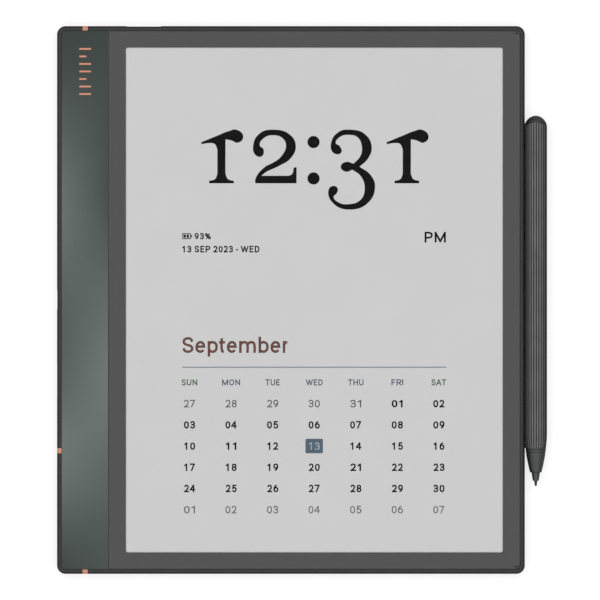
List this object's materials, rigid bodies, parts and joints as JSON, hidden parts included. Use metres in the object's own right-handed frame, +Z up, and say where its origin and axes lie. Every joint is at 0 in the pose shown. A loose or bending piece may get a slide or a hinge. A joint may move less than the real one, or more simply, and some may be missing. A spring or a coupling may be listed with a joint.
{
  "type": "e-paper writing tablet with stylus",
  "caption": "Slim e-paper writing tablet with a wide metal grip strip down its left side, orange antenna inlays in the rim and a fluted stylus held along its right edge.",
  "frame": {"origin": "on the table, under the middle of the tablet and the parked stylus together", "axes": "+Z up out of the screen, +Y to the top edge with the power button, +X to the stylus side"},
  "size_m": [0.202, 0.226, 0.0093],
  "materials": {
    "frame_metal": "fine blasted, dark grey",
    "cover_metal": "fine blasted, dark grey",
    "strip_metal": "satin grey-green",
    "lens_glass": "matt anti-glare",
    "bezel_ink": "printed, matt",
    "light_guide": "clear film",
    "epaper": "paper-like matt",
    "orange_plastic": "satin",
    "rubber": "matt",
    "steel": "bright",
    "circuit_board": "solder mask",
    "chip_black": "moulded",
    "cell_foil": "foil pouch",
    "copper": "enamelled winding wire",
    "ferrite": "sintered",
    "magnet": "nickel plated",
    "black_plastic": "moulded",
    "gloss_black": "polished",
    "flex_film": "amber film",
    "tape": "foam tape",
    "mesh": "woven",
    "stylus_metal": "satin anodised, dark grey",
    "stylus_plastic": "satin, dark grey",
    "nib_plastic": "matt"
  },
  "bodies": {
    "tablet": {"mid_frame": "frame_metal", "antenna_band_top": "orange_plastic", "antenna_band_bottom": "orange_plastic", "antenna_band_left": "orange_plastic", "rear_cover": "cover_metal", "rubber_feet": "rubber", "rear_cover_screws": "steel", "cover_lens": "lens_glass", "side_strip": "strip_metal", "bezel_mask": "bezel_ink", "lens_tape": "tape", "strip_tape": "tape", "light_guide": "light_guide", "front_light_strip": "flex_film", "epaper_panel": "epaper", "display_backing_plate": "steel", "pen_digitiser_board": "circuit_board", "display_flexes": "flex_film", "mainboard": "circuit_board", "mainboard_screws": "steel", "mainboard_chips": "chip_black", "mainboard_connectors": "black_plastic", "radio_shield": "steel", "processor_shield": "steel", "power_shield": "steel", "heat_pad": "tape", "battery_cell_left": "cell_foil", "battery_cell_right": "cell_foil", "battery_bridge_board": "circuit_board", "battery_tape": "tape", "battery_lead": "flex_film", "charging_port_shell": "steel", "charging_port_tongue": "black_plastic", "card_reader": "steel", "speaker_meshes": "mesh", "speaker_gaskets": "tape", "speaker_upper": "black_plastic", "speaker_lower": "black_plastic", "microphone": "steel", "microphone_boot": "rubber", "antenna_upper": "flex_film", "antenna_lower": "flex_film", "button_switch": "flex_film", "button_bracket": "steel", "pen_park_magnets": "magnet"},
    "button": {"power_button": "frame_metal", "fingerprint_sensor": "gloss_black"},
    "tray": {"card_tray": "frame_metal"},
    "stylus": {"stylus_barrel": "stylus_metal", "stylus_cap": "stylus_plastic", "stylus_nose": "stylus_plastic", "stylus_nib_collar": "stylus_plastic", "stylus_ferrite": "ferrite", "stylus_coil": "copper", "stylus_pressure_sensor": "steel", "stylus_carrier": "black_plastic", "stylus_board": "circuit_board", "stylus_magnets": "magnet"},
    "nib": {"stylus_nib": "nib_plastic"}
  },
  "joints": [
    {"name": "power_press", "type": "slide", "parent": "tablet", "child": "button", "axis": [0, -1, 0], "range_m": [0, 0.0003], "stiffness_N_per_m": 3000},
    {"name": "tray_pull", "type": "slide", "parent": "tablet", "child": "tray", "axis": [-1, 0, 0], "range_m": [0, 0.018]},
    {"name": "stylus_detach", "type": "slide", "parent": "tablet", "child": "stylus", "axis": [1, 0, 0], "range_m": [0, 0.03]},
    {"name": "nib_press", "type": "slide", "parent": "stylus", "child": "nib", "axis": [0, 1, 0], "range_m": [0, 0.0003], "stiffness_N_per_m": 3000}
  ]
}
